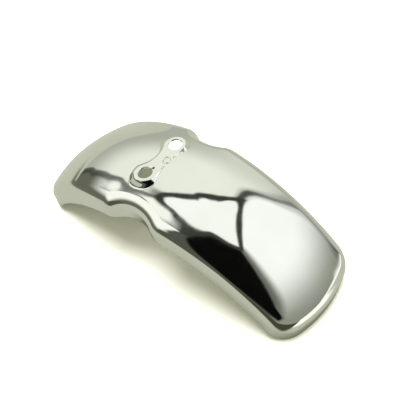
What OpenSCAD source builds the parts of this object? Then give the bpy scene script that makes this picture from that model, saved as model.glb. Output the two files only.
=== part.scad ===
// Front mudguard for a small-wheeled motorcycle, pressed from one sheet of steel.
// A crowned arc over the wheel, with rounded shoulders and a turned-down rim all
// the way round, a scallop on each side for the fork legs, and a raised pad with
// two fixing holes. It stands on its two end lips with the long end towards +X.
// Sizes are in millimetres.

/* [Arc over the wheel] */
// Radius of the ridge line about the wheel axle
ridge_r = 200; // [190:1:210]
// Length along the ridge from the fixing pad to the short end
short_len = 151; // [142:1:160]
// Length along the ridge from the fixing pad to the long end
long_len = 185; // [176:1:194]

/* [Section] */
// Width over the flanks at the fixing pad
mid_w = 110; // [106:1:116]
// Width over the flanks at the long end
long_w = 92; // [89:1:98]
// Width over the flanks at the short end
short_w = 105; // [101:1:110]
// Fall of the crown from the ridge to the flank line
crown_h = 11; // [8:0.5:13]
// Outside radius of the shoulder bend
shoulder_r = 13.5; // [11.5:0.5:14]
// Depth of the side flange below the ridge
side_depth = 27; // [25:0.5:30]
// Thickness of the sheet
sheet_t = 1.2; // [1:0.1:1.6]

/* [Ends] */
// Bulge of the long end in plan
long_bulge = 7.5; // [5:0.5:9.5]
// Bulge of the short end in plan
short_bulge = 2; // [1.5:0.5:4]
// Corner radius of the long end in plan
long_corner = 21; // [18:0.5:24]
// Corner radius of the short end in plan
short_corner = 14.5; // [14:0.5:18]
// Straight length of the end lips below the bend
lip_len = 12; // [9:0.5:14]
// Share of the arc angle that the long lip leans back under
long_lean = 0.32; // [0.2:0.04:0.48]
// Share of the arc angle that the short lip leans back under
short_lean = 0.08; // [0:0.04:0.24]

/* [Fork scallops] */
// Distance of the scallop centre from the fixing pad, towards the long end
scallop_at = 6; // [2:0.5:9]
// Depth of the scallop
scallop_depth = 8.6; // [7:0.2:10]
// Radius of the scallop in plan
scallop_r = 50; // [45:1:56]
// Radius of the scallop corner nearer the short end
scallop_corner_a = 14.5; // [14:0.5:18]
// Radius of the scallop corner nearer the long end
scallop_corner_b = 22; // [18:0.5:28]

/* [Fixing pad] */
// Distance between the two fixing holes
hole_spacing = 37; // [36:0.5:40]
// Diameter of the fixing holes
hole_d = 12; // [10:0.5:13]
// Radius of the flat land round each hole
land_r = 8.8; // [8:0.2:9.6]
// Width of the land at its waist
waist_w = 10; // [8:0.5:12]
// Height of the land above the ridge at its centre
pad_h = 3.8; // [3:0.1:4.4]
// Width of the wall that runs down from the land to the crown
wall_w = 5.5; // [4.5:0.25:6]
// Slope of the land, higher towards the short end
pad_tilt = 3; // [0:0.5:5]

/* [Hidden] */
// Points round each end corner and along each end
corner_n = 7;
end_n = 9;
// Points along the sides: plain flanks, scallop corners and the stretch beside the pad
short_side_n = 9;
corner_a_n = 7;
pad_side_n = 12;
corner_b_n = 9;
long_side_n = 12;
// Half length of the stretch beside the pad, and where the scallop corners end
pad_zone = 19;
corner_a_zone = 34;
corner_b_zone = 46;
// Steps round the shoulder bend, across the crown and down the pad wall
bend_n = 7;
crown_n = 6;
wall_n = 6;
// Points round the pad: along each long and short side of its zone
pad_col_n = 2 * crown_n;
pad_ring_n = 2 * (pad_side_n + pad_col_n);
// Inset of the bend line from the flank line
bend_in = shoulder_r * 0.78;
deg = 180 / PI;

// Scallop corner geometry: where each corner leaves the flank and where it meets the hollow
corner_out_a = sqrt(2 * (scallop_r + scallop_corner_a) * scallop_depth - pow(scallop_depth, 2));
corner_out_b = sqrt(2 * (scallop_r + scallop_corner_b) * scallop_depth - pow(scallop_depth, 2));
corner_in_a = corner_out_a * scallop_r / (scallop_r + scallop_corner_a);
corner_in_b = corner_out_b * scallop_r / (scallop_r + scallop_corner_b);

// Depth of the scallop at distance u from its centre, for a corner of radius c
function hollow(u, c, c_in, c_out) =
    u < c_in ? scallop_depth - scallop_r + sqrt(pow(scallop_r, 2) - pow(u, 2))
    : u < c_out ? c - sqrt(pow(c, 2) - pow(c_out - u, 2))
    : 0;

function scallop_in(s) =
    s < scallop_at
    ? hollow(scallop_at - s, scallop_corner_a, corner_in_a, corner_out_a)
    : hollow(s - scallop_at, scallop_corner_b, corner_in_b, corner_out_b);

// Half width of the flank line without and with the scallops
function plain_half(s) =
    s > 0
    ? mid_w / 2 + (long_w - mid_w) / 2 * s / long_len
    : mid_w / 2 - (short_w - mid_w) / 2 * s / short_len;

function half_w(s) = plain_half(s) - scallop_in(s);

// Side slope of the flank line
function half_slope(s) = (half_w(s + 0.2) - half_w(s - 0.2)) / 0.4;

// Radius of an end arc from its bulge, and the station of its corner centres
function end_r(len, bulge, side) = (pow(plain_half(side * len), 2) + pow(bulge, 2)) / (2 * bulge);

function corner_station(len, r_end, c, side, s_guess, turns) =
    turns == 0
    ? s_guess
    : corner_station(len, r_end, c, side,
        len - r_end + sqrt(pow(r_end - c, 2) - pow(plain_half(side * s_guess) - c, 2)),
        turns - 1);

long_end_r = end_r(long_len, long_bulge, 1);
short_end_r = end_r(short_len, short_bulge, -1);
long_s = corner_station(long_len, long_end_r, long_corner, 1, long_len - long_corner, 4);
short_s = corner_station(short_len, short_end_r, short_corner, -1, short_len - short_corner, 4);

function steps(a, b, n, from = 0) = [for (i = [from:n]) a + (b - a) * i / n];

side_stations = concat(
    steps(-short_s, -corner_a_zone, short_side_n),
    steps(-corner_a_zone, -pad_zone, corner_a_n, 1),
    steps(-pad_zone, pad_zone, pad_side_n, 1),
    steps(pad_zone, corner_b_zone, corner_b_n, 1),
    steps(corner_b_zone, long_s, long_side_n, 1)
);
// Stations at the two ends of the stretch beside the pad
zone_a = short_side_n + corner_a_n;
zone_b = zone_a + pad_side_n;

// Each outline entry holds the point, its outward normal, its ridge point and its lip share
function side_entry(s, dir) =
    let (m = half_slope(s), n = norm([m, 1]))
    [[s, dir * half_w(s)], [-m / n, dir / n], [s, 0], 0];

function arc_entry(centre, r, a, ridge_s, side) =
    let (n = [side * cos(a), sin(a)])
    [centre + r * n, n, [ridge_s, 0], pow(cos(a), 2)];

// One end, taken from the near side to the far side
function end_entries(side, len, r_end, c, s_c) =
    let (
        y_c = plain_half(side * s_c) - c,
        fan = atan2(y_c, s_c - (len - r_end))
    )
    concat(
        [for (a = steps(-90, -fan, corner_n, 1)) arc_entry([side * s_c, -y_c], c, a, side * s_c, side)],
        [for (a = steps(-fan, fan, end_n + 1, 1))
            arc_entry([side * (len - r_end), 0], r_end, a, side * s_c, side)],
        [for (a = steps(fan, 90, corner_n, 1)) arc_entry([side * s_c, y_c], c, a, side * s_c, side)]
    );

function turned(list) = [for (i = [len(list) - 1:-1:0]) list[i]];

function without_last(list) = [for (i = [0:len(list) - 2]) list[i]];

near_side = [for (s = side_stations) side_entry(s, -1)];
far_side = turned([for (s = side_stations) side_entry(s, 1)]);
long_end = without_last(end_entries(1, long_len, long_end_r, long_corner, long_s));
short_end = turned(without_last(end_entries(-1, short_len, short_end_r, short_corner, short_s)));
outline = concat(near_side, long_end, far_side, short_end);
ring_n = len(outline);
half_ring = 2 * len(near_side) + len(long_end);

// The pressed skin: a parabola across, a circle about the axle along
function fall(y) = crown_h * pow(2 * y / mid_w, 2);

function fall_slope(y) = 2 * crown_h * y * pow(2 / mid_w, 2);

function out_dir(s) = [sin(s / ridge_r * deg), 0, cos(s / ridge_r * deg)];

function along_dir(s) = [cos(s / ridge_r * deg), 0, -sin(s / ridge_r * deg)];

function skin(q) = (ridge_r - fall(q.y)) * out_dir(q.x) + [0, q.y, -ridge_r];

function unit(v) = v / norm(v);

function skin_normal(q) = unit(out_dir(q.x) + [0, fall_slope(q.y), 0]);

function skin_tangent(q, n) =
    unit(n.x * along_dir(q.x) + n.y * ([0, 1, 0] - fall_slope(q.y) * out_dir(q.x)));

// One cross-section through the rim at an outline entry, from the bend line to the edge
function rim_points(e, inset) =
    let (
        q = e[0] - bend_in * e[1],
        n = skin_normal(q),
        t = skin_tangent(q, e[1]),
        lean = q.x > 0 ? long_lean : short_lean,
        press = -out_dir(q.x * lean),
        turn = atan2(-press * n, press * t),
        centre = skin(q) - shoulder_r * n,
        foot = centre + shoulder_r * (n * cos(turn) + t * sin(turn)),
        drop = ridge_r - norm([foot.x, foot.z + ridge_r]),
        straight = max(side_depth - drop, 3) * (1 - e[3]) + lip_len * e[3],
        r = shoulder_r - inset
    )
    concat(
        [for (a = steps(0, turn, bend_n)) centre + r * (n * cos(a) + t * sin(a))],
        [centre + r * (n * cos(turn) + t * sin(turn)) + straight * (t * cos(turn) - n * sin(turn))]
    );

// The crown from beside the ridge out to the bend line
function crown_points(e, inset) =
    let (q = e[0] - bend_in * e[1])
    [for (k = steps(0, 1, crown_n, 1))
        let (p = e[2] + (q - e[2]) * k)
        skin(p) - inset * skin_normal(p)];

function section(e, inset) = concat(without_last(crown_points(e, inset)), rim_points(e, inset));

outer_sections = [for (e = outline) section(e, 0)];
inner_sections = [for (e = outline) section(e, sheet_t)];
row_n = len(outer_sections[0]);

// Turn that brings both end lips down to one level, found by halving
edge = [for (c = outer_sections) c[row_n - 1]];

function lowest(list, side, turn) =
    min([for (p = list) if (side * p.x > 0) p.z * cos(turn) - p.x * sin(turn)]);

function level_turn(lo, hi, n) =
    let (mid = (lo + hi) / 2)
    n == 0 ? mid
    : lowest(edge, -1, mid) < lowest(edge, 1, mid) ? level_turn(mid, hi, n - 1)
    : level_turn(lo, mid, n - 1);

rest_turn = level_turn(-25, 25, 30);
rest_z = min(lowest(edge, 1, rest_turn), lowest(edge, -1, rest_turn));
rest_xs = [for (c = outer_sections) for (p = c) p.x * cos(rest_turn) + p.z * sin(rest_turn)];
rest_x = (min(rest_xs) + max(rest_xs)) / 2;

// The sheet is numbered ridge first, then ring by ring outwards, then the rings of the pad
side_n = len(near_side);
ridge = [for (s = side_stations) [s, 0]];
skin_n = side_n + row_n * ring_n + pad_ring_n * (wall_n + 2);

function ridge_index(i) =
    i < side_n ? i
    : i < side_n + len(long_end) ? side_n - 1
    : i < half_ring ? half_ring - 1 - i
    : 0;

function vertex(row, i) = row < 0 ? ridge_index(i) : side_n + row * ring_n + i % ring_n;

// Whether a cell of the crown gives way to the pad
function in_zone(row, i) =
    row < crown_n - 1
    && ((i >= zone_a && i < zone_b) || (i >= half_ring - 1 - zone_b && i < half_ring - 1 - zone_a));

function kept(f) = f[0] != f[1] && f[1] != f[2] && f[2] != f[0];

function sheet_faces() =
    [for (row = [-1:row_n - 2]) for (i = [0:ring_n - 1])
        if (!in_zone(row, i))
            for (f = [
                [vertex(row, i), vertex(row, i + 1), vertex(row + 1, i + 1)],
                [vertex(row, i), vertex(row + 1, i + 1), vertex(row + 1, i)]
            ])
                if (kept(f)) f];

// Border of the pad zone: near bend line, long side, far bend line, short side.
// Row of the crown at step m of the way from the near bend line to the far one
function border_row(m) = abs(m - crown_n) - 1;

function border_vertex(k) =
    let (half = pad_ring_n / 2, m = k % half - pad_side_n)
    k < half
    ? (m <= 0 ? vertex(crown_n - 1, zone_a + k)
        : vertex(border_row(m), m < crown_n ? zone_b : half_ring - 1 - zone_b))
    : (m <= 0 ? vertex(crown_n - 1, half_ring - 1 - zone_b + k - half)
        : vertex(border_row(m), m < crown_n ? half_ring - 1 - zone_a : zone_a));

// Outline of the land: two round lobes joined by a waist, grown outwards by g.
// Each entry holds a point in plan and its outward normal.
lobe_fan = 55;
lobe_side_n = 3;
waist_n = pad_col_n - 2 * lobe_side_n;
waist_r = (pow(hole_spacing / 2, 2) + pow(waist_w / 2, 2) - pow(land_r, 2)) / (2 * (land_r - waist_w / 2));
waist_hub = waist_w / 2 + waist_r;
waist_fan = atan2(hole_spacing / 2, waist_hub);

function lobe_entry(a, g) =
    let (n = [sin(a), -cos(a)])
    [[0, -hole_spacing / 2] + (land_r + g) * n, n];

function waist_entry(a, g) =
    let (n = [cos(a), sin(a)])
    [[waist_hub, 0] + (waist_r - g) * n, -n];

function land_entry(k, g) =
    let (half = pad_ring_n / 2, m = k % half - pad_side_n, side = k < half ? 1 : -1)
    let (
        e = m <= 0
            ? lobe_entry(-lobe_fan + 2 * lobe_fan * (m + pad_side_n) / pad_side_n, g)
            : m <= lobe_side_n
            ? lobe_entry(lobe_fan + (90 + waist_fan - lobe_fan) * m / lobe_side_n, g)
            : m < lobe_side_n + waist_n
            ? waist_entry(180 + waist_fan - 2 * waist_fan * (m - lobe_side_n) / waist_n, g)
            : flipped(lobe_entry(lobe_fan + (90 + waist_fan - lobe_fan) * (pad_col_n - m) / lobe_side_n, g))
    )
    [side * e[0], side * e[1]];

function flipped(e) = [[e[0].x, -e[0].y], [e[1].x, -e[1].y]];

// Station on the arc under a point in plan
function station(p) = asin(p.x / (ridge_r - fall(p.y))) * ridge_r / deg;

// Share of the land's height left at distance g down the wall, and its slope
function wall_share(g) = (1 + cos(180 * g / wall_w)) / 2;

function wall_slope(g) = -90 / wall_w * sin(180 * g / wall_w) / deg;

// A point of the pad wall: the crown lifted towards the plane of the land
function wall_point(entry, g, inset) =
    let (
        p = entry[0],
        q = [station(p), p.y],
        base = skin(q),
        n = skin_normal(q),
        share = wall_share(g),
        lift = pad_h - p.x * tan(pad_tilt) - base.z,
        slope = (1 - share) * [-n.x / n.z, -n.y / n.z]
            + share * [-tan(pad_tilt), 0]
            + lift * wall_slope(g) * entry[1]
    )
    [base.x, p.y, base.z + share * lift] - inset * unit([-slope.x, -slope.y, 1]);

// Half way from the border of the zone to the foot of the wall
function border_plan(k) =
    let (
        half = pad_ring_n / 2,
        m = k % half - pad_side_n,
        i = m <= 0 ? zone_a + k % half : zone_b,
        e = near_side[i],
        q = e[0] - bend_in * e[1],
        y = m <= 0 ? q.y : q.y * (crown_n - m) / crown_n,
        flip = k < half ? 1 : -1
    )
    k < half
    ? skin([q.x, y])
    : m <= 0
    ? mirrored(k - half)
    : short_border(m);

function mirrored(k) =
    let (e = near_side[zone_b - k], q = e[0] - bend_in * e[1])
    skin([q.x, -q.y]);

function short_border(m) =
    let (e = near_side[zone_a], q = e[0] - bend_in * e[1])
    skin([q.x, -q.y * (crown_n - m) / crown_n]);

function apron_point(k, inset) =
    let (
        b = border_plan(k),
        d = land_entry(k, wall_w)[0],
        p = ([b.x, b.y] + d) / 2,
        q = [station(p), p.y]
    )
    skin(q) - inset * skin_normal(q);

// Rings of the pad from the apron to the edge of the land
function pad_points(inset) = concat(
    [for (k = [0:pad_ring_n - 1]) apron_point(k, inset)],
    [for (g = steps(wall_w, 0, wall_n)) for (k = [0:pad_ring_n - 1])
        wall_point(land_entry(k, g), g, inset)]
);

function pad_vertex(row, k) =
    row < 0
    ? border_vertex(k % pad_ring_n)
    : side_n + row_n * ring_n + row * pad_ring_n + k % pad_ring_n;

function wall_faces() =
    [for (row = [-1:wall_n]) for (k = [0:pad_ring_n - 1])
        for (f = [
            [pad_vertex(row, k), pad_vertex(row + 1, k + 1), pad_vertex(row, k + 1)],
            [pad_vertex(row, k), pad_vertex(row + 1, k), pad_vertex(row + 1, k + 1)]
        ]) f];

// The land itself, in strips from one side to the other
function across(k) = (pad_side_n - k + 2 * pad_ring_n) % pad_ring_n;

function land_faces() =
    let (row = wall_n + 1, start = pad_side_n / 2)
    [for (k = [start:start + pad_ring_n / 2 - 1])
        let (a = k % pad_ring_n, b = (k + 1) % pad_ring_n, c = across(k + 1), d = across(k))
        for (f = [
            [pad_vertex(row, a), pad_vertex(row, c), pad_vertex(row, b)],
            [pad_vertex(row, a), pad_vertex(row, d), pad_vertex(row, c)]
        ])
            if (kept(f)) f];

function one_skin(sections, inset) = concat(
    [for (q = ridge) skin(q) - inset * skin_normal(q)],
    [for (r = [0:row_n - 1]) for (i = [0:ring_n - 1]) sections[i][r]],
    pad_points(inset)
);

// Faces of the edge of the sheet, between its two skins
function edge_faces() =
    [for (i = [0:ring_n - 1])
        let (
            a = vertex(row_n - 1, i),
            b = vertex(row_n - 1, i + 1)
        )
        for (f = [[a, b, skin_n + b], [a, skin_n + b, skin_n + a]]) f];

function turned_over(faces) = [for (f = faces) [skin_n + f[2], skin_n + f[1], skin_n + f[0]]];

module pressed_sheet() {
    skin_faces = concat(sheet_faces(), wall_faces(), land_faces());
    polyhedron(
        points = concat(one_skin(outer_sections, 0), one_skin(inner_sections, sheet_t)),
        faces = concat(skin_faces, turned_over(skin_faces), edge_faces()),
        convexity = 6
    );
}

module fixing_hole(side) {
    translate([0, 0, pad_h])
        rotate([0, pad_tilt, 0])
            translate([0, side * hole_spacing / 2, -sheet_t - 2])
                cylinder(h = sheet_t + 4, d = hole_d, $fn = 64);
}

// The one pressed piece, stood on its end lips
module mudguard() {
    color([0.78, 0.79, 0.77])
        translate([-rest_x, 0, -rest_z])
            rotate([0, rest_turn, 0])
                difference() {
                    pressed_sheet();
                    fixing_hole(-1);
                    fixing_hole(1);
                }
}

mudguard();
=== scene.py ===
"""Chrome-plated front mudguard, seen in a plain studio.

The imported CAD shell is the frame. One finer pressing of the same sizes replaces it, with a rounded
cut edge, deburred fixing holes and a chrome finish.
"""

import logging
import math
from dataclasses import dataclass, field
from enum import Enum
from typing import ClassVar, Optional

import bmesh
import bpy
import numpy as np
from mathutils import Matrix, Vector


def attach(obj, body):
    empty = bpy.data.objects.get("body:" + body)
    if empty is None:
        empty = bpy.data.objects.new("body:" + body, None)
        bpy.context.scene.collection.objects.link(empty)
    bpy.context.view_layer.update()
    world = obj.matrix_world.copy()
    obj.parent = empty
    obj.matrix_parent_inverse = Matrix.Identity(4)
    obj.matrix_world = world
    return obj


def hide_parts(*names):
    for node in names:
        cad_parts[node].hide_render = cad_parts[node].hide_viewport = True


Tree = bpy.types.NodeTree
Socket = bpy.types.NodeSocket

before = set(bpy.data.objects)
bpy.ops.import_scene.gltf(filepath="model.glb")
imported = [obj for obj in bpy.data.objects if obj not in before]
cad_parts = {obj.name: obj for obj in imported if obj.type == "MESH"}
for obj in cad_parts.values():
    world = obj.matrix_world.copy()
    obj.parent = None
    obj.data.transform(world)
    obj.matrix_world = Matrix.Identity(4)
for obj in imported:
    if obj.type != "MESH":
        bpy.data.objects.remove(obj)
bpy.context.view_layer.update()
LOG = logging.getLogger("mudguard")
MM = 0.001

# Millimetres to each side over which a slope is taken.
PROBE = 0.02
# Metres under which points are one point, and under which an edge has no length.
WELD = 1e-6
SLIVER = 1e-7

# The light tent's directions are shares of a compass of 360 degrees and of a height of 90.
COMPASS_START = -60.0
COMPASS = 360.0
UPRIGHT = 90.0
DEGREE = 1 / COMPASS
RUNG = 1 / UPRIGHT


def linear(hex_colour: str) -> tuple[float, float, float, float]:
    """Turn an sRGB hex colour into the linear colour that a shader socket takes.

    Args:
        hex_colour: Six hex digits after a hash sign.

    Returns:
        Red, green, blue and an alpha of one.
    """
    channels = []
    for start in (1, 3, 5):
        value = int(hex_colour[start:start + 2], 16) / 255
        channels.append(value / 12.92 if value <= 0.04045 else ((value + 0.055) / 1.055) ** 2.4)
    return channels[0], channels[1], channels[2], 1.0


def per_mm(size_mm: float) -> float:
    """Texture scale at which one feature of a pattern is size_mm wide."""
    return 1000.0 / size_mm


def add_node(
    tree: Tree,
    kind: str,
    settings: Optional[dict] = None,
    inputs: Optional[dict] = None,
) -> bpy.types.Node:
    """Add a node with its settings, values and links.

    Args:
        tree: The node tree it goes into.
        kind: Blender's name of the node type.
        settings: Attribute names and values.
        inputs: Input names or numbers, each with a value or with the output socket that feeds it.

    Returns:
        The new node.
    """
    node = tree.nodes.new(kind)
    for name, value in (settings or {}).items():
        setattr(node, name, value)
    for name, value in (inputs or {}).items():
        if isinstance(value, Socket):
            tree.links.new(value, node.inputs[name])
        else:
            node.inputs[name].default_value = value
    return node


def calc(tree: Tree, operation: str, *values: object) -> Socket:
    """Add a math node.

    Args:
        tree: The node tree it goes into.
        operation: Blender's name of the operation.
        values: Its operands, each a number or a socket.

    Returns:
        The socket with the result.
    """
    return add_node(tree, "ShaderNodeMath", {"operation": operation}, dict(enumerate(values))).outputs[0]


def ramp(tree: Tree, value: Socket, low: float, high: float,
         start: float = 0.0, end: float = 1.0) -> Socket:
    """Turn softly from start to end while a value goes from low to high."""
    return add_node(tree, "ShaderNodeMapRange", {"interpolation_type": "SMOOTHSTEP"}, {
        "Value": value, "From Min": low, "From Max": high, "To Min": start, "To Max": end}).outputs[0]


def blend(tree: Tree, share: Socket, below: object, above: object) -> Socket:
    """Mix two colours by a share. Each is a socket, a hex colour or a linear colour.

    Args:
        tree: The node tree it goes into.
        share: How much of the second there is.
        below: The colour at a share of 0.
        above: The colour at a share of 1.

    Returns:
        The socket with the mixed colour.
    """
    low, high = (linear(colour) if isinstance(colour, str) else colour for colour in (below, above))
    return add_node(tree, "ShaderNodeMix", {"data_type": "RGBA"}, {
        "Factor": share, 6: low, 7: high}).outputs[2]


def noise(tree: Tree, place: Socket, scale: float, detail: float, roughness: float = 0.5) -> Socket:
    """A noise pattern, from 0 to 1, at a place."""
    return add_node(tree, "ShaderNodeTexNoise", inputs={
        "Vector": place, "Scale": scale, "Detail": detail, "Roughness": roughness}).outputs["Fac"]


def distance(tree: Tree, place: Socket, point: Vector) -> Socket:
    """The distance of a place from a point, in metres."""
    return add_node(tree, "ShaderNodeVectorMath", {"operation": "DISTANCE"}, {
        0: place, 1: point}).outputs["Value"]


class End(Enum):
    """The two ends of the guard, by the sign of the station along the ridge."""

    LONG = 1
    SHORT = -1


@dataclass
class Outline:
    """The outline in plan, round the guard, as seen from above.

    Plan positions are the station along the ridge and the offset across it, in millimetres.
    """

    points: np.ndarray
    normals: np.ndarray
    lip_share: np.ndarray
    ridge: np.ndarray


@dataclass(frozen=True)
class Scallop:
    """A fork scallop in one long side: an arc with a rounded corner towards each end.

    All lengths are in millimetres.
    """

    at: float
    depth: float
    r: float
    short_corner: float
    long_corner: float

    def hollow(self, s: np.ndarray) -> np.ndarray:
        """How far it goes in from the plain side, at stations s.

        Args:
            s: Stations along the ridge.

        Returns:
            The depth at each of them.
        """
        depth, r = self.depth, self.r
        corner = np.where(s < self.at, self.short_corner, self.long_corner)
        away = np.abs(s - self.at)
        reach = np.sqrt(2 * (r + corner) * depth - depth * depth)
        deep = depth - r + np.sqrt(np.maximum(r * r - away * away, 0))
        rise = np.clip(reach - away, 0, None)
        soft = corner - np.sqrt(np.maximum(corner * corner - rise * rise, 0))
        return np.where(away < reach * r / (r + corner), deep, soft)


@dataclass
class PressedShell:
    """The pressed sheet: a crowned arc, a rim turned down all round, fork scallops and a raised pad.

    All lengths are in millimetres and all angles in degrees, but for the two leans, which are the
    share of a station's turn by which the end's flange leans.
    """

    # The arc along the ridge, the widths across it, and the crown, which is fuller round the pad.
    ridge_r: float = 200.0
    short_len: float = 151.0
    long_len: float = 185.0
    mid_w: float = 110.0
    long_w: float = 92.0
    short_w: float = 105.0
    taper_blend: float = 12.0
    crown_h: float = 11.0
    crown_swell: float = 3.3
    swell_half_w: float = 43.0
    sheet_t: float = 1.2

    # The ends and the scallops in plan.
    long_bulge: float = 7.5
    short_bulge: float = 2.0
    long_corner: float = 21.0
    short_corner: float = 14.5
    near_scallop: Scallop = Scallop(at=6.0, depth=8.6, r=50.0, short_corner=14.5, long_corner=22.0)
    far_scallop: Scallop = Scallop(at=7.5, depth=10.3, r=28.0, short_corner=14.5, long_corner=15.0)

    # The rim's bend, which starts inside the outline by a share of its radius, and the flange.
    shoulder_r: float = 13.5
    shoulder_share: float = 0.78
    side_depth: float = 27.0
    side_least: float = 3.0
    lip_len: float = 12.0
    long_lean: float = 0.32
    short_lean: float = 0.08

    # The pad: its two holes and lobes, half its waist's width towards each end, and its sloping
    # wall, which runs out about as far as it drops. The wall is wider towards the short end and
    # narrower at the far lobe's long-end side, by these shares.
    hole_spacing: float = 37.0
    hole_d: float = 12.0
    land_r: float = 8.8
    waist_short: float = 3.9
    waist_long: float = 8.2
    pad_h: float = 3.8
    pad_tilt: float = 3.0
    wall_run: float = 0.5
    wall_least: float = 1.3
    wall_most: float = 3.7
    wall_short: float = 0.7
    wall_far: float = -0.5

    # How it stands on its two ends, from its own frame with the ridge's top at the origin.
    rest_turn: float = -4.40547
    rest_x: float = 16.417
    rest_z: float = -83.4818

    # The hole cutter: how far it reaches under and over the land, and the broken edge it leaves.
    cut_below: float = 6.0
    cut_above: float = 1.0
    edge_break: float = 0.3

    # How fine the mesh is: rings across the section, and steps along the sides, which are shorter
    # between the two stations of the scallops and shortest between those of the pad.
    crown_rings: int = 56
    bend_rings: int = 16
    side_rings: int = 3
    edge_rings: int = 6
    side_step: float = 2.4
    scallop_step: float = 1.1
    scallop_zone: tuple[float, float] = (-34.0, 48.0)
    pad_step: float = 0.55
    pad_zone: tuple[float, float] = (-15.6, 15.0)
    last_gap: float = 2.6
    hole_steps: int = 96
    sharp_angle: float = 35.0
    name: str = "mudguard_shell"

    def taper(self, end: End) -> float:
        """Change of half the width for each millimetre towards an end.

        Args:
            end: Which end.

        Returns:
            The change, below 0 where it narrows.
        """
        if end is End.LONG:
            return (self.long_w - self.mid_w) / 2 / self.long_len
        return (self.short_w - self.mid_w) / 2 / self.short_len

    def half_width(self, s: np.ndarray, scallop: Scallop) -> np.ndarray:
        """Half the outline's width at stations s, on the side with that scallop.

        The two tapers meet in a soft bend.

        Args:
            s: Stations along the ridge.
            scallop: The scallop in that side.

        Returns:
            Half the width at each of them.
        """
        long_side, short_side = self.taper(End.LONG), self.taper(End.SHORT)
        plain = self.mid_w / 2 + np.where(s > 0, long_side * s, -short_side * s)
        near = np.clip(1 - np.abs(s) / self.taper_blend, 0, 1)
        plain = plain + (long_side + short_side) * self.taper_blend / 4 * near ** 2
        return plain - scallop.hollow(s)

    def end_outline(self, end: End, corner_n: int = 26, end_n: int = 18) -> tuple[Outline, float]:
        """The outline round one end: a corner, the bulged end, and the other corner.

        Args:
            end: Which end.
            corner_n: Steps round each corner.
            end_n: Steps along the bulged end.

        Returns:
            The points from one side to the other, and the distance at which the sides stop.
        """
        is_long = end is End.LONG
        length = self.long_len if is_long else self.short_len
        bulge = self.long_bulge if is_long else self.short_bulge
        corner = self.long_corner if is_long else self.short_corner
        slope = self.taper(end)
        half = self.mid_w / 2 + slope * length
        end_r = (half ** 2 + bulge ** 2) / (2 * bulge)
        hub = length - end_r
        off = half - corner
        # The corner's centre settles, in a few rounds, where the end's arc and the side both touch it.
        for _ in range(6):
            centre = hub + math.sqrt((end_r - corner) ** 2 - off ** 2)
            off = self.mid_w / 2 + slope * centre - corner * math.hypot(1, slope)
        fan = math.atan2(off, centre - hub)
        side = math.atan2(1, -slope)
        turns = np.concatenate([
            np.linspace(-side, -fan, corner_n + 1)[:-1],
            np.linspace(-fan, fan, end_n + 1)[:-1],
            np.linspace(fan, side, corner_n + 1),
        ])
        normals = np.stack([np.cos(turns), np.sin(turns)], -1)
        on_end = np.abs(turns) < fan
        radius = np.where(on_end, end_r, corner)
        base_s = np.where(on_end, hub, centre)
        base_y = np.where(on_end, 0.0, np.sign(turns) * off)
        points = np.stack([base_s + radius * normals[:, 0], base_y + radius * normals[:, 1]], -1)
        ridge = np.full(len(turns), centre)
        if not is_long:
            flip = np.array([-1.0, 1.0])
            points, normals, ridge = points[::-1] * flip, normals[::-1] * flip, -ridge
        share = normals[:, 0] ** 2
        return Outline(points, normals, share, ridge), centre + corner * math.cos(side)

    def side_stations(self, low: float, high: float) -> np.ndarray:
        """Stations along a side, close together at the pad and in the scallops.

        Args:
            low: The station at which the side starts.
            high: Where it ends.

        Returns:
            The stations between them.
        """
        stations = [low]
        while stations[-1] < high - self.last_gap:
            s, step = stations[-1], self.side_step
            if self.pad_zone[0] < s < self.pad_zone[1]:
                step = self.pad_step
            elif self.scallop_zone[0] < s < self.scallop_zone[1]:
                step = self.scallop_step
            stations.append(s + step)
        return np.array(stations[1:])

    def outline(self) -> Outline:
        """The whole outline, anticlockwise as seen from above, from the short end along one side.

        Returns:
            Its points, with what the section's rings need at each.
        """
        long_end, high = self.end_outline(End.LONG)
        short_end, low = self.end_outline(End.SHORT)
        s = self.side_stations(-low, high)
        ridge = np.clip(s, short_end.ridge[0], long_end.ridge[0])
        parts = []
        for sign, scallop in ((-1, self.near_scallop), (1, self.far_scallop)):
            order = slice(None) if sign < 0 else slice(None, None, -1)
            half = self.half_width(s, scallop)
            after, before = self.half_width(s + PROBE, scallop), self.half_width(s - PROBE, scallop)
            slope = (after - before) / (2 * PROBE)
            size = np.hypot(1, slope)
            points = np.stack([s, sign * half], -1)[order]
            normals = np.stack([-slope / size, sign / size], -1)[order]
            parts.append(Outline(points, normals, np.zeros(len(s)), ridge[order]))
        ring = [parts[0], long_end, parts[1], short_end]
        return Outline(
            np.concatenate([part.points for part in ring]),
            np.concatenate([part.normals for part in ring]),
            np.concatenate([part.lip_share for part in ring]),
            np.concatenate([part.ridge for part in ring]),
        )

    def beyond_land(self, x: np.ndarray, y: np.ndarray) -> np.ndarray:
        """Distance outside the pad's land, in plan. It is below 0 on the land.

        Args:
            x: Places along the guard, from the pad's middle.
            y: Places across it.

        Returns:
            The distances.
        """
        half = self.hole_spacing / 2
        waist = np.where(x > 0, self.waist_long, self.waist_short)
        waist_r = (half ** 2 + waist ** 2 - self.land_r ** 2) / (2 * (self.land_r - waist))
        hub = waist + waist_r
        side, across = np.abs(x), np.abs(y)
        at_waist = np.arctan2(across, hub - side) < np.arctan2(half, hub)
        return np.where(
            at_waist,
            waist_r - np.hypot(hub - side, across),
            np.hypot(side, across - half) - self.land_r,
        )

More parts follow.
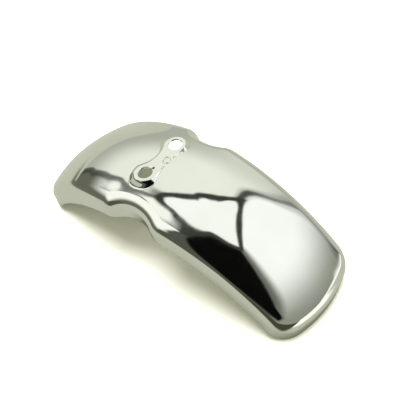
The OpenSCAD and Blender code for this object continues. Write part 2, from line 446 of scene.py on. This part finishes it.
    def skin(self, s: np.ndarray, y: np.ndarray) -> np.ndarray:
        """Points of the outer skin at stations s and offsets y, with the pad raised.

        Args:
            s: Stations along the ridge.
            y: Offsets across it.

        Returns:
            The points, in the pressing's own frame.
        """
        fullness = np.clip(1 - (y / self.swell_half_w) ** 2, 0, 1) ** 2
        along = np.clip(s / np.where(s > 0, self.long_len, self.short_len), -1, 1)
        ends = np.cos(along * np.pi / 2) ** 2
        swell = self.crown_swell * fullness * ends
        radius = self.ridge_r - self.crown_h * (2 * y / self.mid_w) ** 2 + swell
        x = radius * np.sin(s / self.ridge_r)
        z = radius * np.cos(s / self.ridge_r) - self.ridge_r
        land = self.pad_h - x * math.tan(math.radians(self.pad_tilt))
        to_short, to_long = np.clip(-x / self.land_r, 0, 1), np.clip(x / self.land_r, 0, 1)
        wall = np.clip(self.wall_run + land - z, self.wall_least, self.wall_most)
        wall *= 1 + self.wall_short * to_short
        wall *= 1 + self.wall_far * to_long * np.clip(2 * y / self.hole_spacing, 0, 1)
        down = np.clip(self.beyond_land(x, y) / wall, 0, 1)
        return np.stack([x, y, z + (1 + np.cos(np.pi * down)) / 2 * (land - z)], -1)

    def skin_normal(self, s: np.ndarray, y: np.ndarray) -> np.ndarray:
        """Outward unit normals of the outer skin.

        Args:
            s: Stations along the ridge.
            y: Offsets across it.

        Returns:
            The normals.
        """
        along = self.skin(s + PROBE, y) - self.skin(s - PROBE, y)
        across = self.skin(s, y + PROBE) - self.skin(s, y - PROBE)
        normal = np.cross(along, across)
        return normal / np.linalg.norm(normal, axis=-1, keepdims=True)

    def rings(self) -> np.ndarray:
        """Closed section rings, from the outer ridge over the rim's edge to the inner ridge.

        Returns:
            The rings, with as many points each, in the pressing's own frame.
        """
        line = self.outline()
        foot_plan = line.points - self.shoulder_r * self.shoulder_share * line.normals
        ridge = np.stack([line.ridge, np.zeros(len(line.ridge))], -1)
        outer, inner = [], []
        for share in np.linspace(0, 1, self.crown_rings + 1):
            plan = ridge + share * (foot_plan - ridge)
            skin = self.skin(plan[:, 0], plan[:, 1])
            outer.append(skin)
            inner.append(skin - self.sheet_t * self.skin_normal(plan[:, 0], plan[:, 1]))
        s, y = foot_plan[:, 0], foot_plan[:, 1]
        turn = s / self.ridge_r
        flat = np.zeros_like(turn)
        out = np.stack([np.sin(turn), flat, np.cos(turn)], -1)
        along = np.stack([np.cos(turn), flat, -np.sin(turn)], -1)
        # How steeply the crown falls away across the ridge.
        fall = (8 * self.crown_h * y / self.mid_w ** 2)[:, None]
        up = self.skin_normal(s, y)
        away = line.normals[:, :1] * along + line.normals[:, 1:] * (np.array([0, 1.0, 0]) - fall * out)
        away /= np.linalg.norm(away, axis=-1, keepdims=True)
        lean = turn * np.where(s > 0, self.long_lean, self.short_lean)
        press = -np.stack([np.sin(lean), flat, np.cos(lean)], -1)
        bend = np.arctan2(-(press * up).sum(-1), (press * away).sum(-1))
        centre = outer[-1] - self.shoulder_r * up
        for share in np.linspace(0, 1, self.bend_rings + 1)[1:]:
            cos, sin = np.cos(share * bend)[:, None], np.sin(share * bend)[:, None]
            outer.append(centre + self.shoulder_r * (up * cos + away * sin))
            inner.append(centre + (self.shoulder_r - self.sheet_t) * (up * cos + away * sin))
        foot = outer[-1]
        face = up * cos + away * sin
        down = away * cos - up * sin
        drop = self.ridge_r - np.hypot(foot[:, 0], foot[:, 2] + self.ridge_r)
        side = np.maximum(self.side_depth - drop, self.side_least)
        length = side * (1 - line.lip_share) + self.lip_len * line.lip_share
        half = self.sheet_t / 2
        for share in np.linspace(0, 1, self.side_rings + 1)[1:]:
            reach = ((length - half) * share)[:, None]
            outer.append(foot + reach * down)
            inner.append(foot - self.sheet_t * face + reach * down)
        middle = (outer[-1] + inner[-1]) / 2
        edge = []
        for share in np.linspace(0, 1, self.edge_rings + 1)[1:-1]:
            turned = math.pi * share
            edge.append(middle + half * (face * math.cos(turned) + down * math.sin(turned)))
        return np.array(outer + edge + inner[::-1])

    def to_row(self, points: np.ndarray) -> np.ndarray:
        """Points from the pressing's own frame, ridge at the origin, to the row frame in metres.

        Args:
            points: The points, in millimetres.

        Returns:
            The same points, in metres.
        """
        turn = math.radians(self.rest_turn)
        cos, sin = math.cos(turn), math.sin(turn)
        x = points[..., 0] * cos + points[..., 2] * sin - self.rest_x
        z = points[..., 2] * cos - points[..., 0] * sin - self.rest_z
        return np.stack([x, points[..., 1], z], -1) * MM

    def on_land(self, x: float, y: float, lift: float = 0.0) -> Vector:
        """A place on the pad's land, in the row frame in metres.

        Args:
            x: Millimetres along the land from its middle.
            y: Millimetres across it.
            lift: Millimetres above it.

        Returns:
            The place.
        """
        tilt = math.radians(self.pad_tilt)
        point = np.array([
            x * math.cos(tilt) + lift * math.sin(tilt),
            y,
            self.pad_h - x * math.sin(tilt) + lift * math.cos(tilt),
        ])
        return Vector(self.to_row(point))

    def sheet(self) -> bpy.types.Object:
        """The closed sheet before its holes are cut.

        Returns:
            The object.
        """
        rings = self.to_row(self.rings())
        count, around = rings.shape[:2]
        index = np.arange(count * around).reshape(count, around)
        after = np.roll(index, -1, axis=1)
        quads = np.stack([index[:-1], index[1:], after[1:], after[:-1]], -1).reshape(-1, 4)
        mesh = bpy.data.meshes.new(self.name)
        mesh.from_pydata(rings.reshape(-1, 3).tolist(), [], quads.tolist())
        work = bmesh.new()
        work.from_mesh(mesh)
        bmesh.ops.remove_doubles(work, verts=work.verts, dist=WELD)
        bmesh.ops.dissolve_degenerate(work, edges=work.edges, dist=SLIVER)
        work.to_mesh(mesh)
        work.free()
        piece = bpy.data.objects.new(self.name, mesh)
        bpy.context.collection.objects.link(piece)
        return piece

    def hole_cutter(self) -> bpy.types.Object:
        """A turned cutter for each fixing hole, flared where it meets the land to break the edge.

        Returns:
            The object.
        """
        r = self.hole_d / 2
        steps = self.hole_steps
        profile = [
            (r, -self.cut_below),
            (r, -self.edge_break),
            (r + self.edge_break, 0.0),
            (r + self.edge_break + self.cut_above, self.cut_above),
        ]
        work = bmesh.new()
        for sign in (-1, 1):
            loops = []
            for radius, lift in profile:
                loop = []
                for step in range(steps):
                    turn = 2 * math.pi * step / steps
                    x, y = radius * math.cos(turn), radius * math.sin(turn)
                    loop.append(work.verts.new(self.on_land(x, sign * self.hole_spacing / 2 + y, lift)))
                loops.append(loop)
            for low, high in zip(loops, loops[1:]):
                for step in range(steps):
                    other = (step + 1) % steps
                    work.faces.new((low[step], low[other], high[other], high[step]))
            work.faces.new(loops[0][::-1])
            work.faces.new(loops[-1])
        mesh = bpy.data.meshes.new("hole_cutter")
        work.to_mesh(mesh)
        work.free()
        cutter = bpy.data.objects.new("hole_cutter", mesh)
        bpy.context.collection.objects.link(cutter)
        return cutter

    def build(self) -> bpy.types.Object:
        """The finished pressing, as one mesh with smooth skins and crisp hole edges.

        Returns:
            The object, not yet dressed.
        """
        piece, cutter = self.sheet(), self.hole_cutter()
        cut = piece.modifiers.new("fixing_holes", "BOOLEAN")
        cut.operation, cut.solver, cut.object = "DIFFERENCE", "EXACT", cutter
        bpy.context.view_layer.update()
        evaluated = piece.evaluated_get(bpy.context.evaluated_depsgraph_get())
        mesh = bpy.data.meshes.new_from_object(evaluated)
        piece.modifiers.clear()
        piece.data = mesh
        mesh.name = self.name
        bpy.data.objects.remove(cutter)
        mesh.polygons.foreach_set("use_smooth", [True] * len(mesh.polygons))
        mesh.set_sharp_from_angle(angle=math.radians(self.sharp_angle))
        mesh.materials.clear()
        return piece


@dataclass(frozen=True)
class ChromePlate:
    """Bright chrome on polished pressed steel.

    The plating is a clear mirror with a faint warm grey tone. Under it the pressed sheet is slightly
    wavy, and wiping leaves a soft haze. All sizes are in millimetres, and places are on the land.
    """

    pale: str = "#E3E5E0"
    grey: str = "#D6D9D1"
    bare_steel: str = "#2B2620"
    roughness: float = 0.035
    haze: float = 0.03
    haze_from: float = 0.15
    haze_full: float = 0.4
    bare_roughness: float = 0.5
    drift_size: float = 35.0
    patch_size: float = 8.0
    mark_l: float = 18.0
    mark_w: float = 0.8
    wave_size: float = 22.0
    wave_h: float = 0.05
    chip_at: tuple[float, float] = (2.7, -11.1)
    chip_reach: float = 2.2
    chip_edge: float = 0.3
    chip_grain: float = 0.9
    ring_at: tuple[float, float] = (6.4, 1.2)
    ring_r: float = 3.3
    ring_w: float = 0.7
    ring_h: float = 0.35

    def tone(self, tree: Tree, place: Socket) -> Socket:
        """The plating's tone. It drifts over a few centimetres, as the thickness does."""
        drift = noise(tree, place, per_mm(self.drift_size), 2.0)
        return blend(tree, drift, self.grey, self.pale)

    def polish(self, tree: Tree, place: Socket) -> Socket:
        """The roughness, from wiping haze in patches and fine marks along the arc.

        Real marks are 0.05 mm wide. They are drawn wider so that they show.

        Args:
            tree: The finish's node tree.
            place: The place on the object.

        Returns:
            The roughness's socket.
        """
        patches = noise(tree, place, per_mm(self.patch_size), 4.0, 0.6)
        long_way, cross_way = per_mm(self.mark_l), per_mm(self.mark_w)
        stretched = add_node(tree, "ShaderNodeMapping", inputs={
            "Vector": place, "Scale": (long_way, cross_way, long_way)})
        marks = noise(tree, stretched.outputs["Vector"], 1.0, 2.0)
        return add_node(tree, "ShaderNodeMapRange", inputs={
            "Value": calc(tree, "MULTIPLY", patches, marks),
            "From Min": self.haze_from, "From Max": self.haze_full,
            "To Min": self.roughness, "To Max": self.roughness + self.haze}).outputs[0]

    def chip(self, tree: Tree, place: Socket, shell: PressedShell) -> Socket:
        """1 in the ragged chip, about a millimetre long, at the hole nearer the viewer.

        Args:
            tree: The finish's node tree.
            place: The place on the object.
            shell: The pressing that it is on.

        Returns:
            The share's socket.
        """
        ragged = noise(tree, place, per_mm(self.chip_grain), 2.0)
        away = distance(tree, place, shell.on_land(*self.chip_at))
        edge = calc(tree, "MULTIPLY_ADD", ragged, -self.chip_reach * MM, away)
        return add_node(tree, "ShaderNodeMapRange", inputs={
            "Value": edge, "From Min": 0.0, "From Max": self.chip_edge * MM,
            "To Min": 1.0, "To Max": 0.0}).outputs[0]

    def relief(self, tree: Tree, place: Socket, shell: PressedShell) -> Socket:
        """The sheet's own waves from the press, and the plain ring pressed into the pad's waist.

        Args:
            tree: The finish's node tree.
            place: The place on the object.
            shell: The pressing that it is on.

        Returns:
            The normal's socket.
        """
        wavy = add_node(tree, "ShaderNodeBump", inputs={
            "Strength": 1.0, "Distance": self.wave_h * MM,
            "Height": noise(tree, place, per_mm(self.wave_size), 1.0, 0.4)})
        away = distance(tree, place, shell.on_land(*self.ring_at))
        off = calc(tree, "ABSOLUTE", calc(tree, "SUBTRACT", away, self.ring_r * MM))
        return add_node(tree, "ShaderNodeBump", inputs={
            "Strength": 1.0, "Distance": self.ring_h * MM,
            "Height": ramp(tree, off, 0.0, self.ring_w * MM),
            "Normal": wavy.outputs["Normal"]}).outputs["Normal"]

    def material(self, shell: PressedShell) -> bpy.types.Material:
        """The finish, with its small marks placed on the shell.

        Args:
            shell: The pressing that it goes on.

        Returns:
            The material.
        """
        finish = bpy.data.materials.new("chrome_plated_pressed_steel")
        finish.use_nodes = True
        tree = finish.node_tree
        tree.nodes.clear()
        place = add_node(tree, "ShaderNodeTexCoord").outputs["Object"]
        chip = self.chip(tree, place, shell)
        rough = add_node(tree, "ShaderNodeMix", {"data_type": "FLOAT"}, {
            "Factor": chip, 2: self.polish(tree, place), 3: self.bare_roughness})
        metal = add_node(tree, "ShaderNodeBsdfPrincipled", inputs={
            "Base Color": blend(tree, chip, self.tone(tree, place), self.bare_steel),
            "Metallic": 1.0, "Roughness": rough.outputs[0],
            "Normal": self.relief(tree, place, shell)})
        add_node(tree, "ShaderNodeOutputMaterial", inputs={"Surface": metal.outputs[0]})
        return finish


@dataclass(frozen=True)
class Look:
    """The direction that is looked in, as shares of the compass and of the height."""

    compass: Socket
    height: Socket


@dataclass(frozen=True)
class TentWall:
    """One cloth wall of the light tent, with its colour at the foot and higher up.

    The two heights, in degrees above the horizon, are where the one colour starts to turn into the
    other and where it has. With a lean, both heights fall by so many degrees for each degree of the
    compass past lean_from.
    """

    foot: str
    upper: str
    foot_at: float
    upper_at: float
    lean: float = 0.0
    lean_from: float = 40.0

    def colour(self, tree: Tree, look: Look) -> Socket:
        """Its colour in the direction that is looked in.

        Args:
            tree: The world's node tree.
            look: The direction that is looked in.

        Returns:
            The colour's socket.
        """
        leant = calc(tree, "MULTIPLY_ADD", look.compass, COMPASS / UPRIGHT * self.lean, look.height)
        start = (self.lean_from - COMPASS_START) * self.lean
        rise = ramp(tree, leant, (self.foot_at + start) / UPRIGHT, (self.upper_at + start) / UPRIGHT)
        return blend(tree, rise, self.foot, self.upper)


@dataclass(frozen=True)
class ClothLine:
    """A line of the tent drawn through points, in degrees.

    Where it runs across, its points are pairs of compass angle and height, and it gives a height.
    Otherwise it runs up, its points are pairs of height and compass angle, and it gives a compass
    angle. What lies on its two sides meets in a soft turn that is soft wide to each side.
    """

    points: tuple
    soft: float = 0.0
    across: bool = False

    def path(self, tree: Tree, look: Look) -> Socket:
        """The line's other angle in the direction that is looked in, as a share.

        Args:
            tree: The world's node tree.
            look: The direction that is looked in.

        Returns:
            The angle's socket.
        """
        node = add_node(tree, "ShaderNodeFloatCurve", inputs={
            "Value": look.compass if self.across else look.height})
        line = node.mapping.curves[0]
        if self.across:
            shares = [((a - COMPASS_START) / COMPASS, b / UPRIGHT) for a, b in self.points]
        else:
            shares = [(a / UPRIGHT, (b - COMPASS_START) / COMPASS) for a, b in self.points]
        line.points[0].location, line.points[1].location = shares[0], shares[-1]
        for share in shares[1:-1]:
            line.points.new(*share)
        # The cloth comes to a point where seams meet, so the line turns sharply at its lowest places.
        for before, point, after in zip(line.points[:-2], line.points[1:-1], line.points[2:]):
            if self.across and point.location.y < min(before.location.y, after.location.y):
                point.handle_type = "VECTOR"
        node.mapping.update()
        return node.outputs[0]

    def off(self, tree: Tree, look: Look) -> Socket:
        """How far the direction that is looked in lies past the line, as a share."""
        value = look.height if self.across else look.compass
        return calc(tree, "SUBTRACT", value, self.path(tree, look))

    def past(self, tree: Tree, off: Socket, at: float = 0.0, soft: Optional[float] = None) -> Socket:
        """0 before the line and 1 after it.

        Args:
            tree: The world's node tree.
            off: How far past the line, from off().
            at: Degrees past the line at which the turn is.
            soft: Degrees to each side that the turn takes, where it isn't the line's own.

        Returns:
            The share.
        """
        unit = RUNG if self.across else DEGREE
        soft = self.soft if soft is None else soft
        return ramp(tree, off, (at - soft) * unit, (at + soft) * unit)


@dataclass(frozen=True)
class Fold:
    """The dark of cloth gathered along a seam, half_w degrees to each side.

    It is as dark as shown says, and with two heights, in degrees, it comes in between them. Core and
    fade are the shares of half_w at which it starts to pale and is gone.
    """

    half_w: float
    shown: float
    low: float = 0.0
    high: float = 0.0

    core: ClassVar[float] = 0.5
    fade: ClassVar[float] = 1.25

    @classmethod
    def band(cls, tree: Tree, off: Socket, half: object) -> Socket:
        """1 on a seam's middle, falling to 0 a little past half, which is half its width."""
        share = calc(tree, "DIVIDE", calc(tree, "ABSOLUTE", off), half)
        return ramp(tree, share, cls.core, cls.fade, 1.0, 0.0)

    def share(self, tree: Tree, look: Look, off: Socket) -> Socket:
        """How dark it is at off past the seam.

        Args:
            tree: The world's node tree.
            look: The direction that is looked in.
            off: How far past the seam, from ClothLine.off().

        Returns:
            The share's socket.
        """
        shown = self.shown
        if self.high > self.low:
            shown = ramp(tree, look.height, self.low * RUNG, self.high * RUNG, end=self.shown)
        return calc(tree, "MULTIPLY", self.band(tree, off, self.half_w * DEGREE), shown)


@dataclass
class LightTent:
    """The white cloth tent round the object, as the mirror finish sees it.

    Directions are a compass angle from -60 to 300 degrees and a height from 0 to 90 degrees. The
    front is open and dark, and the cloth is gathered along its seams.
    """

    top: str = "#FCFCFA"
    right: TentWall = TentWall("#8E9086", "#FFFFFF", 11, 38, 0.25)
    back: TentWall = TentWall("#ABADA3", "#ECEFE6", 19, 50, 0.15)
    left: TentWall = TentWall("#64665A", "#FEFEF8", 4, 24, -0.05)
    front: TentWall = TentWall("#5E6054", "#090A08", 0, 17)
    flap: str = "#50534A"
    hem: str = "#6C6E66"
    sheet: str = "#FFFFFF"
    seam: str = "#383A35"
    level: float = 1.3

    top_edge: ClothLine = ClothLine((
        (-60, 80), (-40, 78.6), (-25, 75.6), (-10, 70), (-2, 66), (6, 68.2), (15, 69.6), (28, 70.2),
        (45, 68.8), (60, 65.5), (70, 61.2), (76, 57.6), (82, 53), (86, 58), (90, 64.5), (94, 67.3),
        (101, 70.4), (110, 72.5), (120, 73.8), (143, 76), (150, 76.7), (160, 76), (171, 74.5),
        (183.5, 70.2), (188, 67), (192, 62.8), (196, 59.2), (199, 60.9), (202, 62.9), (204.5, 64.8),
        (210.5, 68.7), (216.5, 71.1), (224.5, 73.6), (234, 75.3), (245, 76.8), (260, 78.2),
        (270, 78.9), (300, 80)), 0.8, across=True)
    top_gather: ClothLine = ClothLine((
        (-60, 1.3), (-10, 1.8), (0, 2.0), (20, 2.3), (60, 2.6), (74, 2.8), (79, 4), (84, 6.5),
        (92, 6.5), (97, 4.8), (104, 4.4), (120, 2.9), (145, 2.7), (170, 3.3), (183, 4.2), (190, 4.8),
        (196, 3.6), (199, 2.4), (204, 1.5), (215, 1.3), (225, 1.4), (245, 1.4), (300, 1.3)), across=True)
    right_seam: ClothLine = ClothLine((
        (0, 57), (8, 57), (10, 58), (13, 63), (18, 69), (22, 74), (27, 78), (31, 81), (35, 85),
        (40, 88), (50, 85.5), (60, 80), (90, 80)), 2.0)
    left_seam: ClothLine = ClothLine((
        (0, 174.6), (7, 176), (10, 177.4), (14, 178.4), (20, 180.3), (25, 182.2), (30, 183.6),
        (33, 184.7), (37, 187.2), (48, 192), (58, 196), (90, 196)), 1.0)
    flap_edge: ClothLine = ClothLine((
        (0, 243), (16, 244), (25, 247), (33, 249), (46, 247), (59, 244), (70, 237), (76, 234.5),
        (90, 234)), 3.0)
    left_opening: ClothLine = ClothLine((
        (0, 300), (15, 280), (30, 269), (45, 266), (60, 263), (70, 259), (78, 255), (90, 255)), 4.0)
    right_opening: ClothLine = ClothLine((
        (0, -60), (5, -60), (12, -46), (21, -28), (27, -16), (33, -9.5), (40, -7), (50, -5.6),
        (60, -4.8), (66, -4.2), (75, -4), (90, -4)), 1.5)
    sheet_edge: ClothLine = ClothLine((
        (-60, 0), (14, 0), (20, 4), (27, 9), (38, 12.5), (50, 9), (57, 6.5), (60, 0), (300, 0)),
        1.6, across=True)

    hem_at: float = 7.0
    hem_soft: float = 5.0
    right_folds: tuple[Fold, ...] = (Fold(3.2, 0.85, 28, 42), Fold(6.0, 0.35), Fold(1.8, 0.6))
    back_fold: Fold = Fold(8.0, 0.7, 48, 57)
    left_fold: Fold = Fold(1.1, 0.85)

    def look(self, tree: Tree) -> Look:
        """The direction that is looked in, from the ray.

        Args:
            tree: The world's node tree.

        Returns:
            Its two angles.
        """
        ray = add_node(tree, "ShaderNodeTexCoord").outputs["Generated"]
        middle = math.radians(COMPASS_START + COMPASS / 2)
        ahead, beside = (add_node(tree, "ShaderNodeVectorMath", {"operation": "DOT_PRODUCT"}, {
            0: ray, 1: axis}).outputs["Value"] for axis in (
                (math.cos(middle), math.sin(middle), 0), (-math.sin(middle), math.cos(middle), 0)))
        compass = add_node(tree, "ShaderNodeMapRange", inputs={
            "Value": calc(tree, "ARCTAN2", beside, ahead), "From Min": -math.pi, "From Max": math.pi})
        up = add_node(tree, "ShaderNodeSeparateXYZ", inputs={0: ray}).outputs["Z"]
        height = add_node(tree, "ShaderNodeMapRange", inputs={
            "Value": calc(tree, "ARCSINE", up), "From Min": 0.0, "From Max": math.pi / 2})
        return Look(compass.outputs[0], height.outputs[0])

    def walls(self, tree: Tree, look: Look) -> Socket:
        """The right, back and left walls, with the folds along the seams between them.

        Args:
            tree: The world's node tree.
            look: The direction that is looked in.

        Returns:
            The colour's socket.
        """
        right, left = self.right_seam.off(tree, look), self.left_seam.off(tree, look)
        room = self.right.colour(tree, look)
        room = blend(tree, self.right_seam.past(tree, right), room, self.back.colour(tree, look))
        room = blend(tree, self.back_fold.share(tree, look, left), room, self.seam)
        room = blend(tree, self.left_seam.past(tree, left), room, self.left.colour(tree, look))
        for fold in self.right_folds:
            room = blend(tree, fold.share(tree, look, right), room, self.seam)
        return blend(tree, self.left_fold.share(tree, look, left), room, self.seam)

    def colour(self, tree: Tree) -> Socket:
        """Build the tent's nodes.

        Args:
            tree: The world's node tree.

        Returns:
            The colour in the direction that is looked in.
        """
        look = self.look(tree)
        room = self.walls(tree, look)

        # The white floor sheet turns up a little at the foot of the right wall.
        foot = self.sheet_edge.off(tree, look)
        room = blend(tree, self.sheet_edge.past(tree, foot, at=-self.sheet_edge.soft), self.sheet, room)

        # The open front lies past the flap on the left and up to the hem on the right.
        room = blend(tree, self.flap_edge.past(tree, self.flap_edge.off(tree, look)), room, self.flap)
        front = self.front.colour(tree, look)
        room = blend(tree, self.left_opening.past(tree, self.left_opening.off(tree, look)), room, front)
        opening = self.right_opening.off(tree, look)
        hem = self.right_opening.past(tree, opening, self.hem_at, self.hem_soft)
        room = blend(tree, hem, self.hem, room)
        room = blend(tree, self.right_opening.past(tree, opening), front, room)

        above = self.top_edge.off(tree, look)
        room = blend(tree, self.top_edge.past(tree, above), room, self.top)
        gathered = Fold.band(tree, above, self.top_gather.path(tree, look))
        return blend(tree, gathered, room, self.seam)


@dataclass(frozen=True)
class MattPaper:
    """White matt paper for the floor, in linear colours.

    The metal sees it with painted shade and light that stand in for the tent's light: painted grey
    shade all over, a painted pool of light past the long end, and painted dark shade where the open
    front lies beside it and far behind the short end. Places are in metres on the floor, each as the
    two ends of a soft turn.
    """

    white: tuple = (0.88, 0.88, 0.9, 1.0)
    glow: tuple = (1.0, 1.0, 0.5, 1.0)
    glow_level: float = 0.03
    # Painted grey shade: the metal sees the white paper this dark, as if it lay in shade.
    grey: tuple = (0.285, 0.289, 0.283, 1.0)
    # Painted pool of light: the paper is painted brighter past the long end, for the metal only.
    painted_light_tone: tuple = (0.66, 0.66, 0.7, 1.0)
    # Painted dark shade where the open front lies beside the paper and far behind the short end.
    painted_shade_tone: tuple = (0.02, 0.02, 0.018, 1.0)
    # Where the painted pool of light lies.
    painted_light_x: tuple[float, float] = (0.166, 0.186)
    painted_light_slant: float = -0.5
    painted_light_side: tuple[float, float] = (-0.08, -0.035)
    # Where the painted dark shade lies.
    painted_shade_front_x: tuple[float, float] = (0.13, 0.146)
    painted_shade_front_y: tuple[float, float] = (-0.058, -0.047)
    painted_shade_behind_x: tuple[float, float] = (-0.85, -0.45)
    painted_shade_behind_y: tuple[float, float] = (0.02, 0.13)
    painted_shade_behind_share: float = 0.8

    def mirrored(self, tree: Tree) -> Socket:
        """The paper's colour as the metal sees it, with painted shade and a painted pool of light.

        Args:
            tree: The finish's node tree.

        Returns:
            The colour's socket.
        """
        place = add_node(tree, "ShaderNodeTexCoord").outputs["Object"]
        spot = add_node(tree, "ShaderNodeSeparateXYZ", inputs={0: place})
        x, y = spot.outputs["X"], spot.outputs["Y"]
        # Painted pool of light on the paper past the long end, seen only by the metal.
        side = calc(tree, "MULTIPLY_ADD", x, self.painted_light_slant, y)
        painted_light_patch = calc(tree, "MULTIPLY", ramp(tree, x, *self.painted_light_x),
                     ramp(tree, side, *self.painted_light_side, 1.0, 0.0))
        # The painted grey shade, turning into the painted light in its patch.
        tone = blend(tree, painted_light_patch, self.grey, self.painted_light_tone)
        # Painted dark shade far behind the short end and by the open front beside the long end.
        painted_shade_behind = calc(tree, "MULTIPLY", ramp(tree, x, *self.painted_shade_behind_x, self.painted_shade_behind_share, 0.0),
                      ramp(tree, y, *self.painted_shade_behind_y, 1.0, 0.0))
        painted_shade_share = calc(tree, "MULTIPLY_ADD", ramp(tree, x, *self.painted_shade_front_x),
                    ramp(tree, y, *self.painted_shade_front_y, 1.0, 0.0), painted_shade_behind)
        return blend(tree, painted_shade_share, tone, self.painted_shade_tone)

    def material(self) -> bpy.types.Material:
        """The finish. Its faint glow is seen directly and in the metal, and lights nothing.

        Returns:
            The material.
        """
        finish = bpy.data.materials.new("white_paper_painted_light_and_shade")
        finish.use_nodes = True
        tree = finish.node_tree
        tree.nodes.clear()
        path = add_node(tree, "ShaderNodeLightPath").outputs
        shown = calc(tree, "MAXIMUM", path["Is Camera Ray"], path["Is Glossy Ray"])
        shown = calc(tree, "MAXIMUM", shown, path["Is Transmission Ray"])
        glow = add_node(tree, "ShaderNodeEmission", inputs={
            "Color": self.glow, "Strength": calc(tree, "MULTIPLY", shown, self.glow_level)})
        # The metal sees the painted shade and light in place of the plain white paper.
        colour = blend(tree, path["Is Glossy Ray"], self.white, self.mirrored(tree))
        matt = add_node(tree, "ShaderNodeBsdfDiffuse", inputs={"Color": colour})
        both = add_node(tree, "ShaderNodeAddShader", inputs={0: matt.outputs[0], 1: glow.outputs[0]})
        add_node(tree, "ShaderNodeOutputMaterial", inputs={"Surface": both.outputs[0]})
        return finish


@dataclass(frozen=True)
class SoftLamp:
    """A broad, far lamp aimed at the object, even over the whole floor and hidden from the metal.

    It shines from a direction and fills an angle in degrees, which softens the shadow.
    """

    name: str = "top_softbox"
    direction: tuple[float, float, float] = (-0.1, 0.17, 1.7)
    spread: float = 42.0
    power: float = 4.6
    colour: tuple[float, float, float] = (1.0, 1.0, 0.94)

    def build(self) -> None:
        """Make it and give it to the scene."""
        light = bpy.data.lights.new(self.name, "SUN")
        light.angle, light.energy, light.color = math.radians(self.spread), self.power, self.colour
        lamp = bpy.data.objects.new(self.name, light)
        lamp.location = self.direction
        lamp.rotation_euler = (-Vector(self.direction)).to_track_quat("-Z", "Y").to_euler()
        lamp.visible_glossy = False
        bpy.context.collection.objects.link(lamp)


@dataclass
class Studio:
    """The plain studio: a white floor, the light tent in the metal, and a soft lamp."""

    background: str = "#FFFFFF"
    ambient: tuple = (1.0, 1.0, 0.7, 1.0)
    ambient_level: float = 0.75
    floor_half: float = 6.0
    floor_z: float = -0.0002
    tent: LightTent = field(default_factory=LightTent)
    paper: MattPaper = MattPaper()
    lamp: SoftLamp = SoftLamp()

    def world(self) -> None:
        """White behind the object, plain light on matt surfaces, and the tent in the metal."""
        world = bpy.data.worlds.new("studio")
        bpy.context.scene.world = world
        world.use_nodes = True
        tree = world.node_tree
        tree.nodes.clear()
        path = add_node(tree, "ShaderNodeLightPath").outputs
        plain = add_node(tree, "ShaderNodeBackground", inputs={
            "Color": self.ambient, "Strength": self.ambient_level})
        mirrored = add_node(tree, "ShaderNodeBackground", inputs={
            "Color": self.tent.colour(tree), "Strength": self.tent.level})
        white = add_node(tree, "ShaderNodeBackground", inputs={
            "Color": linear(self.background), "Strength": 1.0})
        metal = add_node(tree, "ShaderNodeMixShader", inputs={
            0: path["Is Glossy Ray"], 1: plain.outputs[0], 2: mirrored.outputs[0]})
        seen = calc(tree, "MAXIMUM", path["Is Camera Ray"], path["Is Transmission Ray"])
        whole = add_node(tree, "ShaderNodeMixShader", inputs={
            0: seen, 1: metal.outputs[0], 2: white.outputs[0]})
        add_node(tree, "ShaderNodeOutputWorld", inputs={"Surface": whole.outputs[0]})

    def floor(self) -> None:
        """A wide white floor that keeps the object's shadow."""
        mesh = bpy.data.meshes.new("floor")
        work = bmesh.new()
        bmesh.ops.create_grid(work, x_segments=2, y_segments=2, size=self.floor_half)
        work.to_mesh(mesh)
        work.free()
        floor = bpy.data.objects.new("floor", mesh)
        floor.location.z = self.floor_z
        bpy.context.collection.objects.link(floor)
        mesh.materials.append(self.paper.material())

    def build(self) -> None:
        """Set up the floor, the world and the lamp."""
        self.floor()
        self.world()
        self.lamp.build()


@dataclass(frozen=True)
class ViewCamera:
    """The camera, with its direction, tilt and lens fitted to the outline.

    Places and distances are in metres, angles in degrees, and the sensor in millimetres. The lens and
    the offset of its axis are in pixels of a frame that is frame_px wide.
    """

    target: tuple[float, float, float] = (0.040, 0.0, 0.050)
    azimuth: float = 49.264
    elevation: float = 50.993
    roll: float = -12.439
    distance: float = 0.53273
    lens_px: float = 649.48
    offset_px: tuple[float, float] = (19.503, 16.392)
    frame_px: float = 400.0
    sensor: float = 36.0
    clip: tuple[float, float] = (0.01, 20.0)

    def build(self) -> None:
        """Make it and give it to the scene."""
        a, e, r = (math.radians(v) for v in (self.azimuth, self.elevation, self.roll))
        back = Vector((math.sin(a) * math.cos(e), -math.cos(a) * math.cos(e), math.sin(e)))
        level = Vector((math.cos(a), math.sin(a), 0))
        rise = back.cross(level)
        right = level * math.cos(r) + rise * math.sin(r)
        up = rise * math.cos(r) - level * math.sin(r)
        data = bpy.data.cameras.new("camera")
        data.sensor_width, data.sensor_fit = self.sensor, "HORIZONTAL"
        data.lens = self.lens_px / self.frame_px * self.sensor
        data.shift_x = -self.offset_px[0] / self.frame_px
        data.shift_y = self.offset_px[1] / self.frame_px
        data.clip_start, data.clip_end = self.clip
        camera = bpy.data.objects.new("camera", data)
        turn = Matrix((right, up, back)).transposed().to_4x4()
        camera.matrix_world = Matrix.Translation(Vector(self.target) + back * self.distance) @ turn
        bpy.context.collection.objects.link(camera)
        bpy.context.scene.camera = camera


def main() -> None:
    """Build the pressing, dress it, and set up the studio and the camera."""
    logging.basicConfig(level=logging.INFO)
    shell = PressedShell()
    piece = shell.build()
    piece.data.materials.append(ChromePlate().material(shell))
    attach(piece, "root")
    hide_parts("mudguard")
    triangles = sum(len(face.vertices) - 2 for face in piece.data.polygons)
    LOG.info("%s: %d triangles", piece.name, triangles)
    Studio().build()
    ViewCamera().build()
    bpy.context.scene.view_settings.view_transform = "Standard"


if __name__ == "__main__":
    main()
